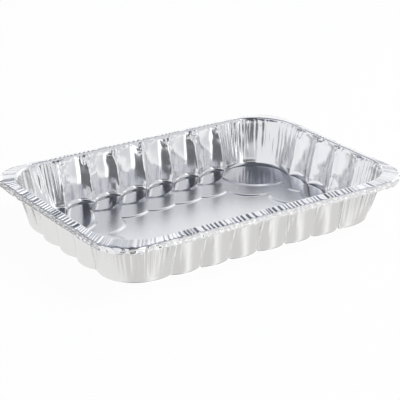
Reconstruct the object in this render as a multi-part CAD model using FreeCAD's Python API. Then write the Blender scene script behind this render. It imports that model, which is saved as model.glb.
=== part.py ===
import os
import math
import FreeCAD, Part

V = FreeCAD.Vector

# Overall size over the rolled edge, and the sheet (all in mm)
length = 330.0
width = 233.0
height = 48.0
sheet = 0.3

# Rim: lip, flange that slopes outward, then a rolled edge with two rounds and a groove between
rim_width = 9.2
rim_corner = 35.0
lip_corner = 44.0
lip_radius = 1.4
flange_slope = 12.0
bead_radius = 1.65
groove_angle = 22.0
return_angle = 60.0
lip_facet_angle = 30.0
bead_facet_angle = 45.0

dip = math.sin(math.radians(flange_slope))
flange_run = rim_width + sheet - (lip_radius + sheet / 2) * (1 + dip) - bead_radius * (1 - dip)
flange_run /= math.cos(math.radians(flange_slope))

# Flutes: lobes bulge outward between narrow creases
long_count = 6
short_count = 3
pitch = 31.0

# Levels of the wall and how far crease and lobe stand inside the lip line
lip_level = height - sheet / 2 - lip_radius
flare_down = 5.8
upper_down = 10.5
middle_down = 28.0
flare_level = height - flare_down
upper_level = height - upper_down
middle_level = height - middle_down
foot_level = 5.0
crease_top_in = 2.8
crease_flare_in = 4.5
crease_upper_in = 6.0
crease_middle_in = 9.8
crease_foot_in = 13.4
lobe_top_in = 0.3
lobe_flare_in = 0.5
lobe_upper_in = 0.8
lobe_middle_in = 3.7
lobe_foot_in = 6.4

# Corner lobes: how far inside the lip's own corner each level passes
corner_top_in = 1.7
corner_flare_in = 1.8
corner_upper_in = 1.9
corner_middle_in = 5.9
corner_foot_in = 10.4

# Foot: rounded toe, landing on the table, slope up to the floor
toe_lobe = 4.8
toe_crease = 2.0
toe_steps = 2
landing = 1.5
slope_run = 3.5
floor_tightens = 22.0
floor_corner = lip_corner - floor_tightens

# Floor: three flats stepping down to the middle, each edge scalloped
outer_flat = 2.0
band_flat = 1.3
panel_flat = 0.6
first_edge_in = 33.0
second_edge_in = 63.0
first_bow = 5.5
second_bow = 4.8
first_corner_bow = 13.0
second_corner_bow = 8.7
step_run = 3.0


def circle_through(a, b, bow, inside):
    """Centre and radius of the arc from a to b whose middle stands off the chord by bow toward inside."""
    mid = (a + b) * 0.5
    half = (b - a).Length / 2
    radius = (half * half + bow * bow) / (2 * bow)
    across = V(-(b - a).y, (b - a).x, 0).normalize()
    if across.dot(inside - mid) < 0:
        across = across * -1
    return mid - across * (radius - bow), radius


def meet(c1, r1, c2, r2, near):
    """The crossing of two circles that lies nearest to a point."""
    gap = (c2 - c1).Length
    along = (r1 * r1 - r2 * r2 + gap * gap) / (2 * gap)
    rise = math.sqrt(max(r1 * r1 - along * along, 0.0))
    u = (c2 - c1).normalize()
    w = V(-u.y, u.x, 0)
    p = c1 + u * along + w * rise
    q = c1 + u * along - w * rise
    return p if (p - near).Length < (q - near).Length else q


def lift(p, z):
    return V(p.x, p.y, z)


def arc(a, b, centre, radius, z):
    """Arc from a to b about centre, through the point between them."""
    way = ((a + b) * 0.5 - centre).normalize()
    return Part.Arc(lift(a, z), lift(centre + way * radius, z), lift(b, z)).toShape()


def straight(a, b, z):
    return Part.makeLine(lift(a, z), lift(b, z))


def mirrored(pieces):
    """Pieces of one quarter, given as (a, b, centre, radius), repeated round all four quarters."""
    ring = []
    for sx, sy in ((1, 1), (-1, 1), (-1, -1), (1, -1)):
        part = [(V(a.x * sx, a.y * sy, 0), V(b.x * sx, b.y * sy, 0),
                 c and V(c.x * sx, c.y * sy, 0), r) for a, b, c, r in pieces]
        if sx * sy < 0:
            part = [(b, a, c, r) for a, b, c, r in reversed(part)]
        ring += part
    return ring


def joined(ring):
    """Two half pieces that meet on a centre line become one piece."""
    out = []
    for piece in ring:
        last = out[-1] if out else None
        if last and last[2] and piece[2] and (last[2] - piece[2]).Length < 1e-6 \
                and abs(last[3] - piece[3]) < 1e-9:
            out[-1] = (last[0], piece[1], last[2], last[3])
        else:
            out.append(piece)
    first, last = out[0], out[-1]
    if first[2] and last[2] and (first[2] - last[2]).Length < 1e-6 and abs(first[3] - last[3]) < 1e-9:
        out[0] = (last[0], first[1], last[2], last[3])
        out.pop()
    return out


def edges(ring, z):
    return [arc(a, b, c, r, z) if c else straight(a, b, z) for a, b, c, r in ring]


def side_lobes(line, crease_in, lobe_in, skin):
    """Radius of the lobes of one side, how far out their centres lie, and where creases fall."""
    deep = crease_in - lobe_in
    radius = ((pitch / 2) ** 2 + deep * deep) / (2 * deep)
    centre = line - lobe_in - radius
    radius -= skin
    crease = centre + math.sqrt(radius * radius - (pitch / 2) ** 2)
    return radius, centre, crease


def half_side(count):
    """Lobes from the middle of a side outward: start (None for half a lobe), end and middle."""
    lobes = []
    for i in range(count):
        low = (i - count / 2) * pitch
        high = low + pitch
        if high > 1e-6:
            lobes.append((low if low > -1e-6 else None, high, low + pitch / 2))
    return lobes


def fluted_ring(crease_in, lobe_in, corner_in, skin):
    """Plan of the fluted wall: creases at fixed places, lobes and corner lobes as arcs."""
    line_x = length / 2 - rim_width
    line_y = width / 2 - rim_width
    rx, cx, crease_x = side_lobes(line_x, crease_in, lobe_in, skin)
    ry, cy, crease_y = side_lobes(line_y, crease_in, lobe_in, skin)
    end_x = long_count * pitch / 2
    end_y = short_count * pitch / 2
    a = V(end_x, line_y - crease_in, 0)
    b = V(line_x - crease_in, end_y, 0)
    out = V(a.y - b.y, b.x - a.x, 0).normalize()
    lip_c = V(line_x - lip_corner, line_y - lip_corner, 0)
    bow = (lip_c - a).dot(out) + lip_corner - corner_in
    round_c, round_r = circle_through(a, b, bow, V(length, width, 0))
    round_r -= skin
    last_y = meet(round_c, round_r, V(end_x - pitch / 2, cy, 0), ry, V(end_x, crease_y, 0))
    last_x = meet(round_c, round_r, V(cx, end_y - pitch / 2, 0), rx, V(crease_x, end_y, 0))
    quarter = []
    for low, high, mid in half_side(short_count):
        a = V(crease_x, low, 0) if low is not None else V(cx + rx, 0, 0)
        b = last_x if high > end_y - pitch / 4 else V(crease_x, high, 0)
        quarter.append((a, b, V(cx, mid, 0), rx))
    quarter.append((last_x, last_y, round_c, round_r))
    for low, high, mid in reversed(half_side(long_count)):
        a = last_y if high > end_x - pitch / 4 else V(high, crease_y, 0)
        b = V(low, crease_y, 0) if low is not None else V(0, cy + ry, 0)
        quarter.append((a, b, V(mid, cy, 0), ry))
    return joined(mirrored(quarter))


def plain_ring(inset, corner):
    """Straight sides and round corners, inset from the lip line."""
    line_x = length / 2 - rim_width - inset
    line_y = width / 2 - rim_width - inset
    round_c = V(line_x - corner, line_y - corner, 0)
    side = V(line_x, round_c.y, 0)
    top = V(round_c.x, line_y, 0)
    half_x = (V(line_x, 0, 0), side, None, 0)
    half_y = (top, V(0, line_y, 0), None, 0)
    return mirrored([half_x, (side, top, round_c, corner), half_y])


def scalloped_ring(inset, shift, bow, corner_bow, run):
    """Floor edge with its points toward the wall, shifted half a lobe row by row."""
    line_x = length / 2 - rim_width - inset
    line_y = width / 2 - rim_width - inset
    end_x = (long_count - shift) * pitch / 2
    end_y = (short_count - shift) * pitch / 2
    middle = V(0, 0, 0)
    cusps = [V(line_x, end_y - i * pitch, 0) for i in range(int(end_y // pitch) + 1)][::-1]
    cusps = [p for p in cusps if p.y > -1e-6]
    if cusps[0].y > 1e-6:
        cusps.insert(0, V(line_x, -cusps[0].y, 0))
    tops = [V(end_x - i * pitch, line_y, 0) for i in range(int(end_x // pitch) + 1)]
    tops = [p for p in tops if p.x > -1e-6]
    if tops[-1].x > 1e-6:
        tops.append(V(-tops[-1].x, line_y, 0))
    circles = []
    for a, b in zip(cusps, cusps[1:]):
        circles.append(circle_through(a, b, bow, middle))
    circles.append(circle_through(cusps[-1], tops[0], corner_bow, middle))
    for a, b in zip(tops, tops[1:]):
        circles.append(circle_through(a, b, bow, middle))
    points = cusps + tops
    circles = [(c, r + run) for c, r in circles]
    full = []
    for i in range(1, len(points) - 1):
        c1, r1 = circles[i - 1]
        c2, r2 = circles[i]
        full.append(meet(c1, r1, c2, r2, points[i]))
    start = V(circles[0][0].x - circles[0][1], 0, 0) if points[0].y < -1e-6 else None
    if start is None:
        mirror = V(circles[0][0].x, -circles[0][0].y, 0)
        start = meet(circles[0][0], circles[0][1], mirror, circles[0][1], points[0])
    finish = V(0, circles[-1][0].y - circles[-1][1], 0) if points[-1].x < -1e-6 else None
    if finish is None:
        mirror = V(-circles[-1][0].x, circles[-1][0].y, 0)
        finish = meet(circles[-1][0], circles[-1][1], mirror, circles[-1][1], points[-1])
    stops = [start] + full + [finish]
    quarter = [(a, b, c, r) for a, b, (c, r) in zip(stops, stops[1:], circles)]
    return joined(mirrored(quarter))


def band(lower, lower_z, upper, upper_z):
    """Ruled faces between two rings that have the same number of pieces."""
    return [Part.makeRuledSurface(a, b) for a, b in zip(edges(lower, lower_z), edges(upper, upper_z))]


def flat(outer, inner, z):
    """Plane face at height z between two rings, or inside one."""
    border = Part.Wire(Part.__sortEdges__(edges(outer, z)))
    if inner is None:
        return [Part.Face(border)]
    hole = Part.Wire(Part.__sortEdges__(edges(inner, z)))
    return [Part.makeFace([border, hole], "Part::FaceMakerBullseye")]


def skin_faces(skin):
    """All faces of one side of the sheet, from the top of the flutes to the middle of the floor."""
    top = fluted_ring(crease_top_in, lobe_top_in, corner_top_in, skin)
    top_z = lip_level - sheet + skin
    ring, level, faces = top, top_z, []
    levels = ((flare_level, crease_flare_in, lobe_flare_in, corner_flare_in),
              (upper_level, crease_upper_in, lobe_upper_in, corner_upper_in),
              (middle_level, crease_middle_in, lobe_middle_in, corner_middle_in),
              (foot_level, crease_foot_in, lobe_foot_in, corner_foot_in))
    for below_z, in_crease, in_lobe, in_corner in levels:
        below = fluted_ring(in_crease, in_lobe, in_corner, skin)
        faces += band(below, below_z, ring, level)
        ring, level = below, below_z
    for i in range(1, toe_steps + 1):
        turn = math.pi / 2 * i / toe_steps
        in_lobe = lobe_foot_in + toe_lobe * (1 - math.cos(turn))
        in_crease = crease_foot_in + toe_crease * (1 - math.cos(turn))
        in_corner = corner_foot_in + toe_lobe * (1 - math.cos(turn))
        below = fluted_ring(in_crease, in_lobe, in_corner, skin * math.cos(turn))
        below_z = foot_level * (1 - math.sin(turn)) + skin * math.sin(turn)
        faces += band(below, below_z, ring, level)
        ring, level = below, below_z
    landed_in = crease_foot_in + toe_crease + landing
    landed = plain_ring(landed_in, floor_corner + slope_run)
    bed = plain_ring(landed_in + slope_run, floor_corner)
    first = scalloped_ring(first_edge_in, 1, first_bow, first_corner_bow, 0)
    first_low = scalloped_ring(first_edge_in, 1, first_bow, first_corner_bow, step_run)
    second = scalloped_ring(second_edge_in, 2, second_bow, second_corner_bow, 0)
    second_low = scalloped_ring(second_edge_in, 2, second_bow, second_corner_bow, step_run)
    faces += flat(ring, landed, skin)
    faces += band(landed, skin, bed, outer_flat + skin)
    faces += flat(bed, first, outer_flat + skin)
    faces += band(first, outer_flat + skin, first_low, band_flat + skin)
    faces += flat(first_low, second, band_flat + skin)
    faces += band(second, band_flat + skin, second_low, panel_flat + skin)
    faces += flat(second_low, None, panel_flat + skin)
    return faces, top


def fluted_pan():
    """Walls and floor as one closed shell, with a narrow shelf out to the lip line on top."""
    outside, outer_top = skin_faces(0.0)
    inside, inner_top = skin_faces(sheet)
    lip_line = plain_ring(0, lip_corner)
    under = lip_level - sheet
    faces = outside + inside + flat(lip_line, outer_top, under)
    faces += band(lip_line, under, lip_line, lip_level) + flat(lip_line, inner_top, lip_level)
    shell = Part.makeShell(faces)
    shell.sewShape()
    solid = Part.makeSolid(shell)
    if solid.Volume < 0:
        solid.reverse()
    return solid


def traced(place, heading, moves, facet):
    """Points of a path of short flats: each move is (radius, turn) or (0, straight run)."""
    points = [place]
    for radius, amount in moves:
        if radius == 0:
            way = V(math.cos(math.radians(heading)), 0, math.sin(math.radians(heading)))
            place = place + way * amount
            points.append(place)
            continue
        flats = max(1, round(abs(amount) / facet))
        chord = 2 * radius * math.sin(math.radians(abs(amount)) / flats / 2)
        for i in range(flats):
            heading += amount / flats / 2
            way = V(math.cos(math.radians(heading)), 0, math.sin(math.radians(heading)))
            place = place + way * chord
            heading += amount / flats / 2
            points.append(place)
    return points


def carried(points, corner):
    """Ring and level for each point of the rim's section, which stands corner away from its turning point."""
    return [(plain_ring(-p.x, corner + p.x), p.z) for p in points]


def rim():
    """Lip, flange and rolled edge as one bead. The lip turns wider than the bead, so corners are broad."""
    over = lip_radius + sheet / 2
    under = lip_radius - sheet / 2
    lip = [(over, -90.0), (over, -flange_slope), (0, flange_run)]
    bead = [(bead_radius, flange_slope - 90.0), (bead_radius, -groove_angle)]
    bead += [(bead_radius, 2 * groove_angle), (bead_radius, -groove_angle)]
    bead += [(bead_radius, -90.0), (bead_radius, -return_angle)]
    below = [(under, -90.0), (under, -flange_slope), (0, flange_run)]
    upper = traced(V(-sheet, 0, lip_level), 90.0, lip, lip_facet_angle)
    edge = traced(upper[-1], -flange_slope, bead, bead_facet_angle)
    lower = traced(V(0, 0, lip_level), 90.0, below, bead_facet_angle)[::-1]
    bead_corner = rim_corner - rim_width
    rings = carried(upper[:-1], lip_corner) + carried(edge + lower[:1], bead_corner)
    rings += carried(lower[1:], lip_corner)
    faces = []
    for (near, near_z), (far, far_z) in zip(rings, rings[1:] + rings[:1]):
        faces += band(near, near_z, far, far_z)
    shell = Part.makeShell(faces)
    shell.sewShape()
    solid = Part.makeSolid(shell)
    if solid.Volume < 0:
        solid.reverse()
    return solid


os.makedirs("parts", exist_ok=True)
tray = fluted_pan().fuse(rim())
if len(tray.Solids) == 1:
    tray = tray.Solids[0]
tray.exportStep("parts/foil_tray.step")
box = tray.optimalBoundingBox()
print("solids", len(tray.Solids), "valid", tray.isValid(), "volume", round(tray.Volume, 1))
print("size", round(box.XLength, 2), round(box.YLength, 2), round(box.ZMin, 3), round(box.ZMax, 3))
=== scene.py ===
import math

import bpy
import numpy as np
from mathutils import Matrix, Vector


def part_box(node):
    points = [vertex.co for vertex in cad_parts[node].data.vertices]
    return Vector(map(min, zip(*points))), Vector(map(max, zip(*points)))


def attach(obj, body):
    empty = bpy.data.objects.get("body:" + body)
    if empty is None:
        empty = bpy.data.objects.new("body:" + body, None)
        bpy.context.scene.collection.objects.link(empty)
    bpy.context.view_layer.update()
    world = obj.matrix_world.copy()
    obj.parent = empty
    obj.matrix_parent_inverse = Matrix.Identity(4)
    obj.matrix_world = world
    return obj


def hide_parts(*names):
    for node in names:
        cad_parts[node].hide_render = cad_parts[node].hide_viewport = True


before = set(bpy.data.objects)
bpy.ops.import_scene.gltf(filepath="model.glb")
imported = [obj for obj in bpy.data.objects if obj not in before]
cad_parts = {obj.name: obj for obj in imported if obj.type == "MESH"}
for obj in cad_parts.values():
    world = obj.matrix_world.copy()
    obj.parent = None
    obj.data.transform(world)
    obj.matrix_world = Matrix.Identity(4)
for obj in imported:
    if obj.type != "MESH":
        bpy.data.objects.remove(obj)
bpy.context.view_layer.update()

# The tray's sizes are in millimetres, and its mesh is scaled to metres at the end.
# The studio's sizes are in metres. All angles are in degrees.
MM = 0.001
TINY = 1e-6
low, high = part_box("foil_tray")
length = (high.x - low.x) / MM
width = (high.y - low.y) / MM
height = (high.z - low.z) / MM
foil = 0.2

# Rim
rim_width = 9.2
rim_corner = 35.0
lip_corner = 44.0
lip_radius = 1.4
flange_slope = 16.0
bead_radius = 2.05
groove_angle = 30.0
return_angle = 60.0
LIP_STEPS = 4
FLANGE_STEPS = 6

# Flutes
long_count = 6
short_count = 3
pitch = 31.0
corner_clear = 0.1
LOBE_STEPS = 36
CORNER_STEPS = 90

# Wall levels from the lip down: the height, then how far creases, lobes and corner lobes
# stand inside the lip line there
lip_level = height - foil / 2 - lip_radius
foot_level = 5.0
crease_foot_in = 13.4
lobe_foot_in = 6.6
corner_foot_in = 10.4
WALL_LEVELS = (
    (lip_level, 0.4, 0.0, 0.2),
    (height - 2.2, 1.9, 0.2, 0.8),
    (height - 3.4, 2.9, 0.4, 1.2),
    (height - 5.8, 4.1, 0.8, 1.7),
    (height - 10.5, 5.8, 1.8, 2.3),
    (height - 15.0, 7.1, 2.8, 3.1),
    (height - 21.0, 8.7, 4.1, 4.4),
    (height - 27.0, 10.0, 5.1, 5.9),
    (height - 41.0, 12.8, 6.5, 9.8),
    (foot_level, crease_foot_in, lobe_foot_in, corner_foot_in),
)
WALL_HEIGHTS = (45.95, 45.4, 44.8, 44.1, 43.4, 42.6, 41.8, 40.8, 39.7, 38.4, 36.8, 34.8,
                32.5, 30, 27, 24, 21, 18, 15, 12, 9.5, 7)

# Foot: a rounded toe, then the trough and the slope up to the floor, given as how far past
# the toe and what share of the rise
toe_lobe = 4.8
toe_crease = 2.0
crease_share = 0.8
TOE_STEPS = 6
SLOPE = ((0.7, 0.0), (1.6, 0.125), (2.6, 0.45), (3.6, 0.8), (4.6, 0.96), (5.8, 1.0))

# Floor: three flats, and the two scalloped steps between them
outer_flat = 2.0
band_flat = 1.3
panel_flat = 0.6
bed_crease_in = 20.0
bed_lobe_in = 17.0
bed_corner_in = 21.0
first_edge_in = 33.0
second_edge_in = 63.0
first_bow = 5.5
second_bow = 4.8
first_corner_bow = 13.0
second_corner_bow = 8.7
first_run = 4.2
second_run = 1.7
first_ease = 0.15

# Rows of the floor, as shares of the way across each flat and each step
BED_SHARES = (0.12, 0.45, 0.9)
FIRST_STEP_SHARES = (0.0, 0.12, 0.5, 0.88, 1.0)
BAND_SHARES = (0.1, 0.4, 0.7, 0.93)
SECOND_STEP_SHARES = (0.0, 0.25, 0.75, 1.0)
PANEL_SHARES = (0.96, 0.8, 0.6, 0.35)

# The middle panel stays flat, and the bright look reaches from the rim to the first step
FLOOR_ROWS = len(BED_SHARES + FIRST_STEP_SHARES + BAND_SHARES + SECOND_STEP_SHARES + PANEL_SHARES)
PANEL_ROWS = len(PANEL_SHARES) + 1
BRIGHT_ROWS = TOE_STEPS + 1 + len(SLOPE + BED_SHARES + FIRST_STEP_SHARES)
BRIGHT_UNDER_ROWS = 2
BRIGHT, DULL, ROLLED = range(3)

line_x = length / 2 - rim_width
line_y = width / 2 - rim_width
end_x = long_count * pitch / 2
end_y = short_count * pitch / 2
LIP_MIDDLE = np.array([line_x - lip_corner, line_y - lip_corner])


class Noise:
    """Smooth random field in space, the same on every run."""

    CELLS = 512

    def __init__(self, seed):
        rng = np.random.default_rng(seed)
        self.table = rng.permutation(self.CELLS)
        self.value = rng.uniform(-1.0, 1.0, self.CELLS)

    def corner(self, i, j, k):
        at = self.table[(i % self.CELLS).astype(int)]
        at = self.table[(at + j % self.CELLS).astype(int) % self.CELLS]
        at = self.table[(at + k % self.CELLS).astype(int) % self.CELLS]
        return self.value[at]

    def at(self, points, size):
        """Field at points (..., 3), with features about as large as size.

        Size is one length, or one for each axis.
        """
        p = points / np.asarray(size, float)
        cell = np.floor(p)
        f = p - cell
        f = f * f * (3 - 2 * f)
        i, j, k = cell[..., 0], cell[..., 1], cell[..., 2]
        out = 0.0
        for di in (0, 1):
            for dj in (0, 1):
                for dk in (0, 1):
                    weight = (f[..., 0] if di else 1 - f[..., 0])
                    weight = weight * (f[..., 1] if dj else 1 - f[..., 1])
                    weight = weight * (f[..., 2] if dk else 1 - f[..., 2])
                    out = out + weight * self.corner(i + di, j + dj, k + dk)
        return out


def smooth(x, low_end, high_end):
    """0 below low_end, 1 above high_end, and a soft rise between."""
    t = np.clip((x - low_end) / (high_end - low_end), 0.0, 1.0)
    return t * t * (3 - 2 * t)


def between(x, rise, fall):
    """0 before the rise, 1 between the rise and the fall, and 0 after the fall."""
    return smooth(x, *rise) * (1 - smooth(x, *fall))


# Stations: a quarter of the way round, from the middle of a short side to that of a long side


def side_stations(count):
    """Places along half a side, from its middle to its last crease, closer at the creases."""
    even = np.arange(LOBE_STEPS) / LOBE_STEPS
    crowded = (1 - np.cos(math.pi * even)) / 2
    u = (even + crowded) / 2
    lobes = [(i - count / 2) * pitch + u * pitch for i in range(count)]
    places = np.concatenate(lobes + [[count * pitch / 2]])
    return places[places > -TINY]


SHORT = side_stations(short_count)
LONG = side_stations(long_count)
TURN = np.arange(1, CORNER_STEPS + 1) / CORNER_STEPS


def all_round(quarter):
    """A quarter's points, repeated round the whole ring."""
    parts = []
    for sx, sy in ((1, 1), (-1, 1), (-1, -1), (1, -1)):
        part = quarter * (sx, sy)
        parts.append(part[:-1] if sx * sy > 0 else part[:0:-1])
    return np.concatenate(parts)


def lobe_inset(places, count, crease_in, lobe_in):
    """How far inside the lip line a side's arcs lie."""
    half = pitch / 2
    deep = max(crease_in - lobe_in, TINY)
    radius = (half * half + deep * deep) / (2 * deep)
    off = (places - (count % 2) * half) % pitch - half
    return lobe_in + radius - np.sqrt(radius * radius - off * off)


def corner_arc(a, b, corner_in):
    """Arc of a corner lobe from crease a to crease b, corner_in inside the lip's corner."""
    chord = b - a
    reach = np.linalg.norm(chord)
    out = np.array([chord[1], -chord[0]]) / reach
    bow = (LIP_MIDDLE - a) @ out * np.sign(out[0]) + lip_corner - corner_in
    out = out * np.sign(out[0])
    radius = (reach * reach / 4 + bow * bow) / (2 * bow)
    centre = (a + b) / 2 + out * (bow - radius)
    start = math.atan2(*(a - centre)[::-1])
    end = math.atan2(*(b - centre)[::-1])
    angle = start + (end - start) * TURN
    return centre + radius * np.stack([np.cos(angle), np.sin(angle)], 1)


def held_inside(points, inset):
    """Points of a corner arc, moved in where they would pass the lip line less the inset."""
    q = points - LIP_MIDDLE
    # Before and after the lip's quarter circle, only the way to its straight line counts
    longer = np.where(q == q.max(1, keepdims=True), q, 0.0)
    q = np.where(q.min(1, keepdims=True) < 0, longer, q)
    away = np.linalg.norm(q, axis=1, keepdims=True)
    return points - q / away * np.maximum(away - lip_corner + inset, 0.0)


def wall_ring(crease_in, lobe_in, corner_in):
    """Plan of the fluted wall at one level."""
    side = np.stack([line_x - lobe_inset(SHORT, short_count, crease_in, lobe_in), SHORT], 1)
    top = np.stack([LONG, line_y - lobe_inset(LONG, long_count, crease_in, lobe_in)], 1)[::-1]
    turn = held_inside(corner_arc(side[-1], top[0], corner_in), lobe_in + corner_clear)
    return all_round(np.concatenate([side, turn, top[1:]]))


def rim_ring(out, corner):
    """Plan of the rim at a distance outside the lip line, with its corner radius."""
    middle = np.array([line_x + out - corner, line_y + out - corner])
    first, bend, last = middle[1] - end_y, corner * math.pi / 2, middle[0] - end_x
    gone = TURN * (first + bend + last)
    angle = np.clip((gone - first) / corner, 0.0, math.pi / 2)
    turn = middle + corner * np.stack([np.cos(angle), np.sin(angle)], 1)
    turn[:, 1] -= np.maximum(first - gone, 0.0)
    turn[:, 0] -= np.maximum(gone - first - bend, 0.0)
    side = np.stack([np.full(len(SHORT), line_x + out), SHORT], 1)
    top = np.stack([LONG, np.full(len(LONG), line_y + out)], 1)[::-1]
    return all_round(np.concatenate([side, turn, top[1:]]))


def scallops(reach, steps):
    """Places along half a side, from its middle to reach, and each arc's bow there, 0 to 1."""
    places = reach * np.arange(steps + 1) / steps
    off = (places - reach) % pitch / pitch * 2 - 1
    return places, 1 - off * off


def floor_ring(inset, fewer, bow, corner_bow):
    """Plan of a scalloped floor edge, with its points toward the wall.

    Each side has this many scallops fewer than its wall has lobes.
    """
    x0, y0 = line_x - inset, line_y - inset
    reach_x = (long_count - fewer) * pitch / 2
    reach_y = (short_count - fewer) * pitch / 2
    short, short_bow = scallops(reach_y, len(SHORT) - 1)
    long, long_bow = scallops(reach_x, len(LONG) - 1)
    side = np.stack([x0 - bow * short_bow, short], 1)
    top = np.stack([long, y0 - bow * long_bow], 1)[::-1][1:]
    a, b = np.array([x0, reach_y]), np.array([reach_x, y0])
    chord = b - a
    inward = np.array([-chord[1], chord[0]]) / np.linalg.norm(chord)
    if inward @ a > 0:
        inward = -inward
    arch = corner_bow * 4 * TURN * (1 - TURN)
    turn = a + chord * TURN[:, None] + inward * arch[:, None]
    return all_round(np.concatenate([side, turn, top]))


def row(plan, z):
    return np.concatenate([plan, np.full((len(plan), 1), z)], 1)


# Rows of the sheet's middle surface, from the flange inward to the middle of the floor


def wall_rows():
    levels = np.array(WALL_LEVELS)[::-1]
    rows = []
    for z in WALL_HEIGHTS:
        crease, lobe, corner = (np.interp(z, levels[:, 0], levels[:, i]) for i in (1, 2, 3))
        rows.append(row(wall_ring(crease, lobe, corner), z))
    return rows


def foot_rows():
    """Rounded toe, trough that stands on the table, and the slope up to the floor."""
    rows = []
    for i in range(TOE_STEPS + 1):
        turn = math.pi / 2 * i / TOE_STEPS
        crease = crease_foot_in + toe_crease * (1 - math.cos(turn))
        lobe = lobe_foot_in + toe_lobe * (1 - math.cos(turn))
        corner = corner_foot_in + toe_lobe * (1 - math.cos(turn))
        z = foil / 2 + foot_level * (1 - math.sin(turn))
        rows.append(row(wall_ring(crease, lobe, corner), z))
    for past, share in SLOPE:
        plan = wall_ring(crease + past * crease_share, lobe + past, corner + past)
        rows.append(row(plan, foil / 2 + outer_flat * share))
    return rows


def first_ring(run):
    return floor_ring(first_edge_in + run, 1, first_bow, first_corner_bow)


def second_ring(run):
    return floor_ring(second_edge_in + run, 2, second_bow, second_corner_bow)


def flat_rows(outer, inner, level, shares):
    return [row(outer * (1 - f) + inner * f, foil / 2 + level) for f in shares]


def floor_rows():
    bed = wall_ring(bed_crease_in, bed_lobe_in, bed_corner_in)
    rows = flat_rows(bed, first_ring(0.0), outer_flat, BED_SHARES)
    for f in FIRST_STEP_SHARES:
        fall = smooth(f, -first_ease, 1 + first_ease)
        level = outer_flat + (band_flat - outer_flat) * fall
        rows.append(row(first_ring(first_run * f), foil / 2 + level))
    rows += flat_rows(first_ring(first_run), second_ring(0.0), band_flat, BAND_SHARES)
    for f in SECOND_STEP_SHARES:
        level = band_flat + (panel_flat - band_flat) * f
        rows.append(row(second_ring(second_run * f), foil / 2 + level))
    rows += [row(second_ring(second_run) * f, foil / 2 + panel_flat) for f in PANEL_SHARES]
    return rows


def traced(place, heading, moves):
    """Path in the rim's section: each move is (radius, turn, steps) or (0, run, steps)."""
    path = [place]
    for radius, amount, steps in moves:
        for _ in range(steps):
            step = amount / steps
            if radius == 0:
                way = math.radians(heading)
                gone = step
            else:
                way = math.radians(heading + step / 2)
                gone = 2 * radius * math.sin(math.radians(abs(step)) / 2)
                heading += step
            path.append(path[-1] + gone * np.array([math.cos(way), math.sin(way)]))
    return path


def rim_rows():
    """Lip and flange rows of the middle surface, then the rows round the bead."""
    slope = math.radians(flange_slope)
    dip = math.sin(slope)
    flange = rim_width + foil / 2 - lip_radius * (1 + dip) - bead_radius * (1 - dip)
    flange /= math.cos(slope)
    lip = traced(np.array([0.0, lip_level]), 90.0,
                 [(lip_radius, -90.0, LIP_STEPS), (lip_radius, -flange_slope, 1),
                  (0, flange, FLANGE_STEPS)])
    up = np.array([dip, math.cos(slope)]) * foil / 2
    bead = traced(lip[-1] + up, -flange_slope,
                  [(bead_radius, flange_slope - 90.0, 4), (bead_radius, -groove_angle, 1),
                   (bead_radius / 2, 2 * groove_angle, 2), (bead_radius, -groove_angle, 1),
                   (bead_radius, -90.0, 3), (bead_radius, -return_angle, 2)])[1:]
    crest = len(lip) - FLANGE_STEPS - 1
    bead_corner = rim_corner - rim_width
    near = rim_ring(lip[crest][0], lip_corner + lip[crest][0])
    far = rim_ring(lip[-1][0], bead_corner + lip[-1][0])
    rows = [row(rim_ring(x, lip_corner + x), z) for x, z in lip[:crest]]
    for i, (_, z) in enumerate(lip[crest:]):
        rows.append(row(near + (far - near) * i / FLANGE_STEPS, z))
    return rows, [row(rim_ring(x, bead_corner + x), z) for x, z in bead]


def normals_of(rows, up_row):
    """Unit normals of a closed band of rows, on the side that points up at up_row."""
    along = np.roll(rows, -1, 1) - np.roll(rows, 1, 1)
    across = np.gradient(rows, axis=0)
    n = np.cross(along, across)
    n /= np.maximum(np.linalg.norm(n, axis=2, keepdims=True), TINY)
    return n if np.mean(n[up_row, :, 2]) > 0 else -n


def along_rim():
    """For each station: how far along the lip line, how much a corner, and offset in its lobe."""
    full_corner = 260.0
    ring = rim_ring(0.0, lip_corner)
    gone = np.linalg.norm(np.roll(ring, -1, 0) - ring, axis=1)
    run = np.concatenate([[0.0], np.cumsum(gone)[:-1]])
    x, y = ring[:, 0], ring[:, 1]
    past = np.maximum(np.abs(x) - end_x, 0.0) * np.maximum(np.abs(y) - end_y, 0.0)
    corner = smooth(past, 0.0, full_corner)
    on_long = np.abs(y) > line_y - 1.0
    place = np.where(on_long, x * np.sign(y), -y * np.sign(x))
    shift = np.where(on_long, long_count % 2, short_count % 2) * pitch / 2
    offset = (place - shift) % pitch - pitch / 2
    ends = np.where(on_long, end_x, end_y)
    beyond_end = np.sign(place) * (np.abs(place) - ends - pitch / 2)
    offset = np.where(np.abs(place) > ends, beyond_end, offset)
    return run, corner, offset


def ribs(run, size, seed, sharp):
    """Irregular ribs across a path, about size apart and up to 1.3 high or deep."""
    noise = Noise(seed)
    flat = np.stack([run, np.zeros_like(run), np.zeros_like(run)], -1)
    phase = run / size + 0.8 * noise.at(flat, size * 2.2)
    wave = np.sin(2 * math.pi * phase)
    strength = 0.7 + 0.7 * noise.at(flat + 50.0, size * 1.7)
    return np.sign(wave) * np.abs(wave) ** sharp * np.clip(strength, 0.45, 1.3)


# Marks that the pressing leaves: each is a shift of the sheet along its normal


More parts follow.
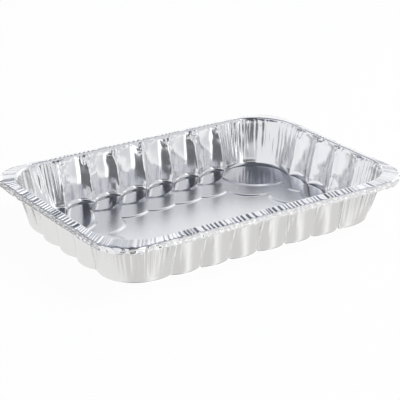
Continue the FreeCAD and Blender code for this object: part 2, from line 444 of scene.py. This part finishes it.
class Sheet:
    """Where each point of the sheet's middle surface lies, as the marks need it."""

    CORNER_GAP = 20.0

    def __init__(self, grid, wall_start):
        self.grid = grid
        self.run, self.corner, offset = along_rim()
        self.z = grid[..., 2]
        gap = pitch / 2 - np.abs(offset)
        self.gap = np.where(self.corner > 0.5, self.CORNER_GAP, gap)
        s = np.broadcast_to(self.run, self.z.shape)
        self.where = np.stack([s, self.z, np.zeros_like(s)], -1)
        number = np.arange(len(grid))[:, None]
        self.flange = smooth(wall_start - 1 - number, 1.5, 4.5) * (number < wall_start)
        self.inside = (number >= wall_start) * 1.0
        self.before_floor = number < len(grid) - FLOOR_ROWS
        self.before_panel = number < len(grid) - PANEL_ROWS
        self.wall = self.inside * between(self.z, (7.0, 14.0), (44.0, 46.0))

    def grain(self, seed, along, up):
        """Random field with features of this size along the rim and up the wall."""
        return Noise(seed).at(self.where, (along, up, 1.0))


def flange_ribs(sheet):
    """Ribs straight across the flange, closer together round the corners."""
    wander = Noise(4).at(sheet.where[0], 25.0)
    straight = ribs(sheet.run, 4.7, 3, 0.6) * (0.48 + 0.2 * wander)
    gathers = ribs(sheet.run, 3.1, 5, 0.8) * 0.45
    return sheet.flange * (straight * (1 - sheet.corner) + gathers * sheet.corner)


def corner_folds(sheet):
    """Upright folds of the corner walls, stronger and finer toward the lip."""
    strength = sheet.inside * between(sheet.z, (3.0, 30.0), (45.2, 46.4))
    folds = 0.7 * ribs(sheet.run, 4.3, 27, 0.9)
    finer = 0.5 * ribs(sheet.run, 3.3, 28, 0.9) * smooth(sheet.z, 10.0, 34.0)
    uneven = 0.25 * sheet.grain(9, 5.0, 9.0) + 0.3 * sheet.grain(10, 2.6, 8.0)
    return sheet.corner * strength * (folds + finer + uneven)


def puckers(sheet):
    """Puckers where each crease runs out under the lip."""
    strength = sheet.inside * between(sheet.z, (34.0, 41.0), (45.0, 46.3))
    near = 1 - smooth(sheet.gap, 2.0, 8.5)
    return strength * near * (1.1 * sheet.grain(11, 2.3, 4.5) + 0.5 * sheet.grain(12, 1.7, 2.4))


def flank_crinkles(sheet):
    """Crinkled patches on the flanks of some lobes."""
    patch = smooth(sheet.grain(13, 15.0, 16.0), 0.12, 0.5) * (1 - smooth(sheet.gap, 5.0, 12.0))
    return sheet.wall * patch * (1 - sheet.corner) * 0.65 * sheet.grain(14, 2.4, 3.4)


def streaks_and_dents(sheet):
    """Faint drawing streaks and soft dents over the whole wall."""
    return sheet.wall * (0.05 * sheet.grain(15, 2.2, 30.0) + 0.22 * sheet.grain(16, 8.0, 9.0))


def pinched_creases(sheet):
    """Pinched line of foil standing out of each groove."""
    depth = 0.5 + 0.25 * sheet.grain(21, 6.0, 3.0)
    return -sheet.wall * depth * np.exp(-(sheet.gap / 0.75) ** 2)


def lip_crinkles(sheet):
    return sheet.inside * smooth(sheet.z, 43.0, 45.5) * 0.3 * sheet.grain(17, 2.2, 2.0)


def foot_crinkles(sheet):
    """Crinkles at the foot of the creases."""
    strength = sheet.inside * sheet.before_floor * (1 - smooth(sheet.z, 3.0, 9.0))
    near = 1 - smooth(sheet.gap, 1.5, 5.0)
    return strength * near * 0.4 * Noise(18).at(sheet.grid, 2.2)


def floor_waves(sheet):
    """Long shallow waves of the foot and floor along the rolling direction."""
    strength = sheet.inside * sheet.before_panel * (sheet.z < 3.0)
    waves = Noise(19).at(sheet.grid, (9.0, 46.0, 9.0)) + Noise(20).at(sheet.grid, 22.0)
    return strength * 0.03 * waves


def pressed(grid, wall_start):
    """The middle surface with all the marks of its pressing."""
    sheet = Sheet(grid, wall_start)
    marks = (flange_ribs, corner_folds, puckers, flank_crinkles, streaks_and_dents,
             pinched_creases, lip_crinkles, foot_crinkles, floor_waves)
    shift = sum(mark(sheet) for mark in marks)
    return grid + normals_of(grid, -1) * shift[..., None]


def crumpled(bead):
    """Bead rows moved in and out like a rolled edge that was crimped, most at the corners."""
    section_round = 9.0
    run, corner, _ = along_rim()
    turn = np.arange(len(bead))[:, None] / len(bead)
    s = np.broadcast_to(run, bead.shape[:2])
    where = np.stack([s, turn * section_round + 0 * s, np.zeros_like(s)], -1)
    strength = (0.5 + 0.45 * corner) * between(turn, (0.0, 0.15), (0.9, 1.0))
    crimps = Noise(31).at(where, (1.7, 2.0, 1.0)) + 0.7 * Noise(32).at(where, (5.0, 4.0, 1.0))
    return bead + normals_of(bead, 2) * (strength * crimps)[..., None]


def build_sheet():
    """The tray as one closed mesh: upper side outward, round the bead, underside inward."""
    lip, bead = rim_rows()
    wall = wall_rows()
    wall_start, wall_end = len(lip), len(lip) + len(wall)
    grid = pressed(np.array(lip[::-1] + wall + foot_rows() + floor_rows()), wall_start)
    normals = normals_of(grid, -1)
    upper = grid + normals * foil / 2
    under = grid - normals * foil / 2
    # The sheet stands on the table and doesn't reach through it
    under[..., 2] = np.maximum(under[..., 2], 0.0)
    upper[..., 2] = np.maximum(upper[..., 2], foil)
    corner = along_rim()[1]
    rows = []

    def add(ring, look, inside, every):
        """A row of the mesh: its points, its look, and how crinkled the foil is there."""
        crinkle = corner * smooth(ring[:, 2], 5.0, 9.0) * inside
        rows.append((ring[::every], look, crinkle[::every]))

    for i in range(len(upper) - 1, -1, -1):
        look = BRIGHT if i < wall_end + BRIGHT_ROWS else ROLLED
        add(upper[i], look, i >= wall_start, 1 if i < wall_end else 2)
    for ring in crumpled(np.array(bead)):
        add(ring, BRIGHT, False, 1)
    for i in range(len(under)):
        on_wall = wall_start <= i < wall_end
        # The hidden side of the wall has every second row
        if on_wall and (i - wall_start) % 2 and i + 1 < wall_end:
            continue
        look = BRIGHT if i < BRIGHT_UNDER_ROWS else DULL
        add(under[i], look, i >= wall_start, 1 if on_wall else 2)
    return sheet_mesh(rows)


def sheet_mesh(rows):
    """Joins rows to one mesh, where a row may have half as many points as its neighbour."""
    rings = [ring for ring, _, _ in rows]
    starts = np.cumsum([0] + [len(ring) for ring in rings])
    faces = []
    looks = []
    for k in range(len(rings) - 1):
        a, b, na, nb = starts[k], starts[k + 1], len(rings[k]), len(rings[k + 1])
        before = len(faces)
        if na == nb:
            faces += [(a + i, a + (i + 1) % na, b + (i + 1) % na, b + i) for i in range(na)]
        else:
            wide, fine, flip = (a, b, False) if na < nb else (b, a, True)
            n, m = min(na, nb), max(na, nb)
            for i in range(n):
                j, w0, w1 = 2 * i, wide + i, wide + (i + 1) % n
                f0, f1, f2 = fine + j, fine + j + 1, fine + (j + 2) % m
                new = [(w0, f1, f0), (w0, w1, f1), (w1, f2, f1)]
                faces += [t[::-1] for t in new] if flip else new
        looks += [rows[k][1]] * (len(faces) - before)
    # A point in the middle of the floor closes each side
    middles = [np.mean(rings[0], 0)[None], np.mean(rings[-1], 0)[None]]
    points = np.concatenate(rings + middles)
    top, bottom = len(points) - 2, len(points) - 1
    n = len(rings[0])
    faces += [(top, (i + 1) % n, i) for i in range(n)]
    looks += [rows[0][1]] * n
    last = starts[-2]
    n = len(rings[-1])
    faces += [(bottom, last + i, last + (i + 1) % n) for i in range(n)]
    looks += [rows[-1][1]] * n
    mesh = bpy.data.meshes.new("foil_tray_sheet")
    mesh.from_pydata((points * MM).tolist(), [], faces)
    mesh.polygons.foreach_set("material_index", looks)
    values = np.concatenate([crinkle for _, _, crinkle in rows] + [[0.0, 0.0]])
    mesh.attributes.new("crinkle", "FLOAT", "POINT").data.foreach_set("value", values)
    mesh.shade_smooth()
    mesh.validate()
    return mesh


# Materials


def worked_out(tree, operation, *values, kind="ShaderNodeMath"):
    """Result of a math node, whose values are numbers or the outputs of other nodes."""
    node = tree.nodes.new(kind)
    node.operation = operation
    for socket, value in zip(node.inputs, values):
        if isinstance(value, bpy.types.NodeSocket):
            tree.links.new(value, socket)
        else:
            socket.default_value = value
    return node.outputs[0]


def foil_surface():
    """Node group: roughness with fine streaks, more where the foil is crinkled, and a normal.

    The normal leans up by Lean, so that a sprung wall reflects the room over the rim.
    """
    crinkle_roughness = 0.07
    streak_detail = 3.0
    group = bpy.data.node_groups.new("foil surface", "ShaderNodeTree")
    for name, kind in (("Roughness", "Float"), ("Streaks", "Float"), ("Crinkle", "Float"),
                       ("Stretch", "Vector"), ("Lean", "Float")):
        group.interface.new_socket(name, in_out="INPUT", socket_type="NodeSocket" + kind)
    for name, kind in (("Roughness", "Float"), ("Normal", "Vector")):
        group.interface.new_socket(name, in_out="OUTPUT", socket_type="NodeSocket" + kind)
    nodes, links = group.nodes, group.links
    given = nodes.new("NodeGroupInput").outputs
    out = nodes.new("NodeGroupOutput").inputs

    place = nodes.new("ShaderNodeTexCoord").outputs["Object"]
    stretched = worked_out(group, "MULTIPLY", place, given["Stretch"], kind="ShaderNodeVectorMath")
    noise = nodes.new("ShaderNodeTexNoise")
    noise.inputs["Scale"].default_value = 1.0
    noise.inputs["Detail"].default_value = streak_detail
    links.new(stretched, noise.inputs["Vector"])
    streaks = worked_out(group, "SUBTRACT", noise.outputs["Fac"], 0.5)
    rough = worked_out(group, "MULTIPLY_ADD", streaks, given["Streaks"], given["Roughness"])
    rough = worked_out(group, "MULTIPLY_ADD", given["Crinkle"], crinkle_roughness, rough)
    links.new(rough, out["Roughness"])

    rise = nodes.new("ShaderNodeCombineXYZ")
    links.new(given["Lean"], rise.inputs["Z"])
    normal = nodes.new("ShaderNodeNewGeometry").outputs["Normal"]
    leaning = worked_out(group, "ADD", normal, rise.outputs[0], kind="ShaderNodeVectorMath")
    leaning = worked_out(group, "NORMALIZE", leaning, kind="ShaderNodeVectorMath")
    links.new(leaning, out["Normal"])
    return group


def foil_material(name, roughness, streaks, stretch, lean):
    """Bare foil. Stretch is about how many streaks lie in a metre along each axis."""
    mat = bpy.data.materials.new(name)
    mat.use_nodes = True
    nodes, links = mat.node_tree.nodes, mat.node_tree.links
    shader = nodes["Principled BSDF"]
    shader.inputs["Base Color"].default_value = (0.88, 0.885, 0.9, 1)
    shader.inputs["Metallic"].default_value = 1.0
    group = nodes.new("ShaderNodeGroup")
    group.node_tree = surface
    group.inputs["Roughness"].default_value = roughness
    group.inputs["Streaks"].default_value = streaks
    group.inputs["Stretch"].default_value = stretch
    group.inputs["Lean"].default_value = lean
    crinkle = nodes.new("ShaderNodeAttribute")
    crinkle.attribute_name = "crinkle"
    links.new(crinkle.outputs["Fac"], group.inputs["Crinkle"])
    links.new(group.outputs["Roughness"], shader.inputs["Roughness"])
    links.new(group.outputs["Normal"], shader.inputs["Normal"])
    return mat


tray = bpy.data.objects.new("tray_sheet", build_sheet())
bpy.context.scene.collection.objects.link(tray)
surface = foil_surface()
# In the order of BRIGHT, DULL and ROLLED
for mat in (foil_material("foil bright side", 0.14, 0.08, (300, 300, 60), 0.15),
            foil_material("foil dull side", 0.24, 0.10, (400, 400, 120), 0.0),
            foil_material("foil rolled flat", 0.24, 0.05, (220, 30, 100), 0.0)):
    tray.data.materials.append(mat)
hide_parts("foil_tray")
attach(tray, "root")


# Studio


def studio_floor():
    """Pale floor, which the camera sees as almost white and the foil doesn't reflect."""
    reach = 6.0
    glow_share = 0.95
    corners = [(-reach, -reach, 0), (reach, -reach, 0), (reach, reach, 0), (-reach, reach, 0)]
    mesh = bpy.data.meshes.new("studio_floor")
    mesh.from_pydata(corners, [], [(0, 1, 2, 3)])
    floor = bpy.data.objects.new("studio_floor", mesh)
    bpy.context.scene.collection.objects.link(floor)
    mat = bpy.data.materials.new("pale floor")
    mat.use_nodes = True
    nodes, links = mat.node_tree.nodes, mat.node_tree.links
    nodes.clear()
    out = nodes.new("ShaderNodeOutputMaterial")
    diffuse = nodes.new("ShaderNodeBsdfDiffuse")
    diffuse.inputs["Color"].default_value = (0.93, 0.93, 0.93, 1)
    glow = nodes.new("ShaderNodeEmission")
    glow.inputs["Color"].default_value = (1, 1, 1, 1)
    seen = nodes.new("ShaderNodeLightPath").outputs["Is Camera Ray"]
    mix = nodes.new("ShaderNodeMixShader")
    links.new(worked_out(mat.node_tree, "MULTIPLY", seen, glow_share), mix.inputs[0])
    links.new(diffuse.outputs[0], mix.inputs[1])
    links.new(glow.outputs[0], mix.inputs[2])
    links.new(mix.outputs[0], out.inputs["Surface"])
    floor.data.materials.append(mat)
    floor.visible_glossy = False


# Light of the room by elevation, then panels of light laid over it one after the other: the
# colour, the azimuths and the elevations between which the panel lies, and how soft its edges
# are. Azimuths count from -Y toward +X.
ROOM_LIGHT = ((0.0, (1.0, 1.0, 1.0)), (22.0, (0.98, 0.98, 1.0)), (29.0, (0.90, 0.91, 0.94)),
              (36.0, (0.62, 0.64, 0.70)), (56.0, (0.34, 0.36, 0.42)), (66.0, (0.10, 0.11, 0.13)))
PANELS = (
    # Low light above the table
    ((0.98, 0.98, 0.98), -100, -40, -2, 20, 3.0),
    ((1.0, 1.0, 1.0), 18, 78, -2, 12, 3.0),
    # Right and back: soft wall, window bands, and the darker end of the room
    ((0.72, 0.72, 0.74), 18, 78, 12, 66, 3.0),
    ((0.9, 0.9, 0.91), 74, 148, 27, 40, 3.0),
    ((1.15, 1.15, 1.15), 78, 120, 5, 42, 3.0),
    ((0.97, 0.98, 1.0), 124, 161, 14, 30, 3.0),
    ((0.62, 0.63, 0.67), 148, 161, 27, 40, 3.0),
    ((1.6, 1.6, 1.6), 161, 173, 17, 30, 1.5),
    ((0.30, 0.30, 0.32), 174, -148, 13, 46, 2.0),
    ((0.95, 0.95, 0.98), -142, -102, 13, 42, 3.0),
    ((1.15, 1.15, 1.17), 110, 142, 38, 49, 3.0),
    # Front: bright strip, the dark places low and high beside it, and the pale left wall
    ((1.6, 1.6, 1.6), 6, 15, -2, 44, 1.5),
    ((0.15, 0.15, 0.16), -40, 5, -2, 24, 1.5),
    ((0.06, 0.06, 0.07), -42, 4, 32, 60, 2.0),
    ((0.9, 0.9, 0.92), -100, -37, 12, 48, 2.0),
    # Table, as the walls see it from outside
    ((0.88, 0.87, 0.85), -180, 179.9, -68, -4, 3.0),
    ((0.70, 0.69, 0.67), -62, 2, -68, -6, 6.0),
    ((1.1, 1.09, 1.07), 14, 28, -68, -4, 5.0),
    ((0.74, 0.73, 0.71), 40, 96, -68, -6, 5.0),
    ((1.5, 1.5, 1.5), 112, 150, -68, -4, 3.0),
    ((0.40, 0.40, 0.40), -180, 179.9, -95, -72, 4.0),
    ((0.42, 0.42, 0.43), -176, -112, -22, 6, 3.0),
)


def studio_world():
    """Room around the tray, which the camera itself sees as plain white."""
    world = bpy.data.worlds.new("studio")
    bpy.context.scene.world = world
    world.use_nodes = True
    tree = world.node_tree
    nodes, links = tree.nodes, tree.links
    nodes.clear()
    # Azimuths are worked out from this one, which puts their jump at -26, in the dark place
    turned = 154.0
    to_degrees = 180 / math.pi
    turn = nodes.new("ShaderNodeVectorRotate")
    turn.rotation_type = "Z_AXIS"
    turn.inputs["Angle"].default_value = math.radians(-turned)
    links.new(nodes.new("ShaderNodeTexCoord").outputs["Generated"], turn.inputs["Vector"])
    split = nodes.new("ShaderNodeSeparateXYZ")
    links.new(turn.outputs[0], split.inputs[0])
    x, y, z = split.outputs
    azimuth = worked_out(tree, "ARCTAN2", x, worked_out(tree, "MULTIPLY", y, -1.0))
    azimuth = worked_out(tree, "MULTIPLY", azimuth, to_degrees)
    elevation = worked_out(tree, "MULTIPLY", worked_out(tree, "ARCSINE", z), to_degrees)

    def edge(angle, outside, inside):
        ramp = nodes.new("ShaderNodeMapRange")
        ramp.interpolation_type = "SMOOTHSTEP"
        ramp.inputs["From Min"].default_value = outside
        ramp.inputs["From Max"].default_value = inside
        links.new(angle, ramp.inputs["Value"])
        return ramp.outputs["Result"]

    def panel(under, color, left, right, low_end, high_end, soft):
        """Colour laid over what is under it, between azimuths left and right."""
        a, b = (((v - turned + 180) % 360) - 180 for v in (left, right))
        first = edge(azimuth, a - soft, a + soft)
        last = edge(azimuth, b + soft, b - soft)
        across = worked_out(tree, "MAXIMUM" if a > b else "MULTIPLY", first, last)
        up = worked_out(tree, "MULTIPLY", edge(elevation, low_end - soft, low_end + soft),
                        edge(elevation, high_end + soft, high_end - soft))
        mix = nodes.new("ShaderNodeMix")
        mix.data_type = "RGBA"
        mix.clamp_result = False
        links.new(worked_out(tree, "MULTIPLY", across, up), mix.inputs["Factor"])
        links.new(under, mix.inputs[6])
        mix.inputs[7].default_value = (*color, 1)
        return mix.outputs[2]

    ramp = nodes.new("ShaderNodeValToRGB")
    while len(ramp.color_ramp.elements) < len(ROOM_LIGHT):
        ramp.color_ramp.elements.new(0.5)
    for element, (place, color) in zip(ramp.color_ramp.elements, ROOM_LIGHT):
        element.position = place / 90.0
        element.color = (*color, 1)
    links.new(worked_out(tree, "MULTIPLY", elevation, 1 / 90.0), ramp.inputs[0])
    room = ramp.outputs[0]
    for settings in PANELS:
        room = panel(room, *settings)

    glow = nodes.new("ShaderNodeBackground")
    links.new(room, glow.inputs["Color"])
    white = nodes.new("ShaderNodeBackground")
    white.inputs["Color"].default_value = (1, 1, 1, 1)
    mix = nodes.new("ShaderNodeMixShader")
    links.new(nodes.new("ShaderNodeLightPath").outputs["Is Camera Ray"], mix.inputs[0])
    links.new(glow.outputs[0], mix.inputs[1])
    links.new(white.outputs[0], mix.inputs[2])
    out = nodes.new("ShaderNodeOutputWorld")
    links.new(mix.outputs[0], out.inputs["Surface"])


def toward(azimuth, elevation):
    a, e = math.radians(azimuth), math.radians(elevation)
    return Vector((math.sin(a) * math.cos(e), -math.cos(a) * math.cos(e), math.sin(e)))


def soft_lamp(name, azimuth, elevation, distance, size, power):
    lamp = bpy.data.lights.new(name, "AREA")
    lamp.shape = "RECTANGLE"
    lamp.size, lamp.size_y = size
    lamp.energy = power
    obj = bpy.data.objects.new(name, lamp)
    obj.location = distance * toward(azimuth, elevation)
    obj.rotation_euler = (-obj.location).to_track_quat("-Z", "Y").to_euler()
    obj.visible_glossy = False
    bpy.context.scene.collection.objects.link(obj)


def studio_camera():
    """Camera at the viewing angle that was fitted to the photograph. Focal is in pixels."""
    distance, focal, frame_width, sensor = 1.46975, 1565.86, 400, 36.0
    aim = Vector((-7.17, -10.76, 25.0)) * MM
    back = toward(-34.06, 21.79)
    data = bpy.data.cameras.new("camera")
    data.sensor_width = sensor
    data.lens = sensor * focal / frame_width
    camera = bpy.data.objects.new("camera", data)
    camera.location = aim + back * distance
    camera.rotation_euler = (-back).to_track_quat("-Z", "Y").to_euler()
    bpy.context.scene.collection.objects.link(camera)
    bpy.context.scene.camera = camera


studio_floor()
studio_world()
soft_lamp("key lamp", 60, 55, 1.6, (1.0, 1.0), 12)
studio_camera()
bpy.context.scene.view_settings.view_transform = "Standard"
